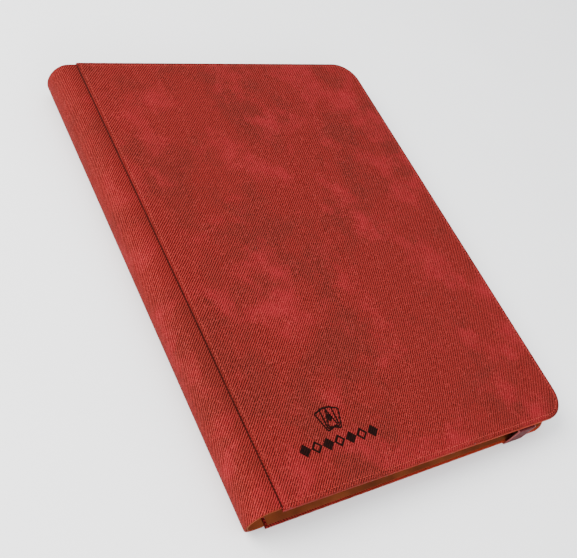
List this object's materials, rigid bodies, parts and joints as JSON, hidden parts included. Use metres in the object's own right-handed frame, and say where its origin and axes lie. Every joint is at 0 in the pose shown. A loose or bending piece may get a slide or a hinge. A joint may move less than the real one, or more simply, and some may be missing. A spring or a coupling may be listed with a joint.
{
  "type": "trading card album",
  "caption": "Closed book-style album with padded covers, a rounded spine, side-loading pocket leaves and an elastic closing strap.",
  "frame": {"origin": "middle of the closed album's footprint, on the surface its back cover lies on", "axes": "+X from the spine towards the fore edge, +Y from the foot towards the head of the page, +Z from the back cover up to the front cover"},
  "size_m": [0.2498, 0.3222, 0.0276],
  "materials": {
    "cover_microfibre": "brushed nubuck with a fine diagonal twill emboss",
    "cover_lining": "short-napped microfibre",
    "foam": "soft closed-cell foam sheet",
    "board": "grey bookbinding board",
    "thread": "twisted polyester thread",
    "elastic": "flat woven elastic with a satin face",
    "strip_plastic": "matt moulded plastic",
    "leaf_plastic": "fine-grained sheet plastic",
    "pocket_film": "clear polypropylene film with welded lines"
  },
  "bodies": {
    "back_cover": {"back_skin": "cover_microfibre", "back_padding": "foam", "back_board": "board", "back_lining": "cover_lining", "back_stitching": "thread", "back_spine_flange": "cover_microfibre"},
    "spine": {"spine_skin": "cover_microfibre", "spine_padding": "foam", "spine_lining": "cover_lining", "binding_strip": "strip_plastic", "leaf_tabs": "leaf_plastic"},
    "front_cover": {"front_skin": "cover_microfibre", "front_padding": "foam", "front_board": "board", "front_lining": "cover_lining", "front_stitching": "thread", "front_spine_flange": "cover_microfibre", "strap_anchors": "elastic"},
    "closing_strap": {"closing_strap": "elastic"},
    "leaf_01": {"leaf_01_sheet": "leaf_plastic", "leaf_01_pockets": "pocket_film"},
    "leaf_02": {"leaf_02_sheet": "leaf_plastic", "leaf_02_pockets": "pocket_film"},
    "leaf_03": {"leaf_03_sheet": "leaf_plastic", "leaf_03_pockets": "pocket_film"},
    "leaf_04": {"leaf_04_sheet": "leaf_plastic", "leaf_04_pockets": "pocket_film"},
    "leaf_05": {"leaf_05_sheet": "leaf_plastic", "leaf_05_pockets": "pocket_film"},
    "leaf_06": {"leaf_06_sheet": "leaf_plastic", "leaf_06_pockets": "pocket_film"},
    "leaf_07": {"leaf_07_sheet": "leaf_plastic", "leaf_07_pockets": "pocket_film"},
    "leaf_08": {"leaf_08_sheet": "leaf_plastic", "leaf_08_pockets": "pocket_film"},
    "leaf_09": {"leaf_09_sheet": "leaf_plastic", "leaf_09_pockets": "pocket_film"},
    "leaf_10": {"leaf_10_sheet": "leaf_plastic", "leaf_10_pockets": "pocket_film"},
    "leaf_11": {"leaf_11_sheet": "leaf_plastic", "leaf_11_pockets": "pocket_film"},
    "leaf_12": {"leaf_12_sheet": "leaf_plastic", "leaf_12_pockets": "pocket_film"},
    "leaf_13": {"leaf_13_sheet": "leaf_plastic", "leaf_13_pockets": "pocket_film"},
    "leaf_14": {"leaf_14_sheet": "leaf_plastic", "leaf_14_pockets": "pocket_film"},
    "leaf_15": {"leaf_15_sheet": "leaf_plastic", "leaf_15_pockets": "pocket_film"},
    "leaf_16": {"leaf_16_sheet": "leaf_plastic", "leaf_16_pockets": "pocket_film"},
    "leaf_17": {"leaf_17_sheet": "leaf_plastic", "leaf_17_pockets": "pocket_film"},
    "leaf_18": {"leaf_18_sheet": "leaf_plastic", "leaf_18_pockets": "pocket_film"},
    "leaf_19": {"leaf_19_sheet": "leaf_plastic", "leaf_19_pockets": "pocket_film"},
    "leaf_20": {"leaf_20_sheet": "leaf_plastic", "leaf_20_pockets": "pocket_film"}
  },
  "joints": [
    {"name": "spine_fold", "type": "hinge", "parent": "back_cover", "child": "spine", "pos_m": [-0.1087, 0, 0.0013], "axis": [0, -1, 0], "range_deg": [0, 90]},
    {"name": "front_cover_fold", "type": "hinge", "parent": "spine", "child": "front_cover", "pos_m": [-0.1087, 0, 0.0263], "axis": [0, -1, 0], "range_deg": [0, 91.54]},
    {"name": "strap_swing", "type": "hinge", "parent": "front_cover", "child": "closing_strap", "pos_m": [0.0866, 0, 0.0177], "axis": [0, -1, 0], "range_deg": [0, 180], "deforming": ["closing_strap"]},
    {"name": "leaf_01_turn", "type": "hinge", "parent": "spine", "child": "leaf_01", "pos_m": [-0.1056, 0, 0.0231], "axis": [0, -1, 0], "range_deg": [0, 91.55]},
    {"name": "leaf_02_turn", "type": "hinge", "parent": "spine", "child": "leaf_02", "pos_m": [-0.105, 0, 0.02212], "axis": [0, -1, 0], "range_deg": [0, 91.47]},
    {"name": "leaf_03_turn", "type": "hinge", "parent": "spine", "child": "leaf_03", "pos_m": [-0.1044, 0, 0.02114], "axis": [0, -1, 0], "range_deg": [0, 91.4]},
    {"name": "leaf_04_turn", "type": "hinge", "parent": "spine", "child": "leaf_04", "pos_m": [-0.1038, 0, 0.02016], "axis": [0, -1, 0], "range_deg": [0, 91.32]},
    {"name": "leaf_05_turn", "type": "hinge", "parent": "spine", "child": "leaf_05", "pos_m": [-0.1032, 0, 0.01918], "axis": [0, -1, 0], "range_deg": [0, 91.24]},
    {"name": "leaf_06_turn", "type": "hinge", "parent": "spine", "child": "leaf_06", "pos_m": [-0.1026, 0, 0.0182], "axis": [0, -1, 0], "range_deg": [0, 91.16]},
    {"name": "leaf_07_turn", "type": "hinge", "parent": "spine", "child": "leaf_07", "pos_m": [-0.102, 0, 0.01723], "axis": [0, -1, 0], "range_deg": [0, 91.08]},
    {"name": "leaf_08_turn", "type": "hinge", "parent": "spine", "child": "leaf_08", "pos_m": [-0.1014, 0, 0.01625], "axis": [0, -1, 0], "range_deg": [0, 91]},
    {"name": "leaf_09_turn", "type": "hinge", "parent": "spine", "child": "leaf_09", "pos_m": [-0.1008, 0, 0.01527], "axis": [0, -1, 0], "range_deg": [0, 90.92]},
    {"name": "leaf_10_turn", "type": "hinge", "parent": "spine", "child": "leaf_10", "pos_m": [-0.1002, 0, 0.01429], "axis": [0, -1, 0], "range_deg": [0, 90.84]},
    {"name": "leaf_11_turn", "type": "hinge", "parent": "spine", "child": "leaf_11", "pos_m": [-0.1002, 0, 0.01331], "axis": [0, -1, 0], "range_deg": [-89.26, 0]},
    {"name": "leaf_12_turn", "type": "hinge", "parent": "spine", "child": "leaf_12", "pos_m": [-0.1008, 0, 0.01233], "axis": [0, -1, 0], "range_deg": [-89.35, 0]},
    {"name": "leaf_13_turn", "type": "hinge", "parent": "spine", "child": "leaf_13", "pos_m": [-0.1014, 0, 0.01135], "axis": [0, -1, 0], "range_deg": [-89.43, 0]},
    {"name": "leaf_14_turn", "type": "hinge", "parent": "spine", "child": "leaf_14", "pos_m": [-0.102, 0, 0.01037], "axis": [0, -1, 0], "range_deg": [-89.52, 0]},
    {"name": "leaf_15_turn", "type": "hinge", "parent": "spine", "child": "leaf_15", "pos_m": [-0.1026, 0, 0.0094], "axis": [0, -1, 0], "range_deg": [-89.6, 0]},
    {"name": "leaf_16_turn", "type": "hinge", "parent": "spine", "child": "leaf_16", "pos_m": [-0.1032, 0, 0.00842], "axis": [0, -1, 0], "range_deg": [-89.68, 0]},
    {"name": "leaf_17_turn", "type": "hinge", "parent": "spine", "child": "leaf_17", "pos_m": [-0.1038, 0, 0.00744], "axis": [0, -1, 0], "range_deg": [-89.77, 0]},
    {"name": "leaf_18_turn", "type": "hinge", "parent": "spine", "child": "leaf_18", "pos_m": [-0.1044, 0, 0.00646], "axis": [0, -1, 0], "range_deg": [-89.85, 0]},
    {"name": "leaf_19_turn", "type": "hinge", "parent": "spine", "child": "leaf_19", "pos_m": [-0.105, 0, 0.00548], "axis": [0, -1, 0], "range_deg": [-89.93, 0]},
    {"name": "leaf_20_turn", "type": "hinge", "parent": "spine", "child": "leaf_20", "pos_m": [-0.1056, 0, 0.0045], "axis": [0, -1, 0], "range_deg": [-90.01, 0]}
  ],
  "couplings": [
    {"joint": "front_cover_fold", "follows": "spine_fold", "ratio": 1.017},
    {"joint": "leaf_01_turn", "follows": "spine_fold", "ratio": 1.0171},
    {"joint": "leaf_02_turn", "follows": "spine_fold", "ratio": 1.0163},
    {"joint": "leaf_03_turn", "follows": "spine_fold", "ratio": 1.0154},
    {"joint": "leaf_04_turn", "follows": "spine_fold", "ratio": 1.0145},
    {"joint": "leaf_05_turn", "follows": "spine_fold", "ratio": 1.0137},
    {"joint": "leaf_06_turn", "follows": "spine_fold", "ratio": 1.0128},
    {"joint": "leaf_07_turn", "follows": "spine_fold", "ratio": 1.0119},
    {"joint": "leaf_08_turn", "follows": "spine_fold", "ratio": 1.011},
    {"joint": "leaf_09_turn", "follows": "spine_fold", "ratio": 1.0101},
    {"joint": "leaf_10_turn", "follows": "spine_fold", "ratio": 1.0092},
    {"joint": "leaf_11_turn", "follows": "spine_fold", "ratio": -0.99169},
    {"joint": "leaf_12_turn", "follows": "spine_fold", "ratio": -0.99263},
    {"joint": "leaf_13_turn", "follows": "spine_fold", "ratio": -0.99357},
    {"joint": "leaf_14_turn", "follows": "spine_fold", "ratio": -0.9945},
    {"joint": "leaf_15_turn", "follows": "spine_fold", "ratio": -0.99543},
    {"joint": "leaf_16_turn", "follows": "spine_fold", "ratio": -0.99635},
    {"joint": "leaf_17_turn", "follows": "spine_fold", "ratio": -0.99727},
    {"joint": "leaf_18_turn", "follows": "spine_fold", "ratio": -0.99819},
    {"joint": "leaf_19_turn", "follows": "spine_fold", "ratio": -0.9991},
    {"joint": "leaf_20_turn", "follows": "spine_fold", "ratio": -1}
  ]
}
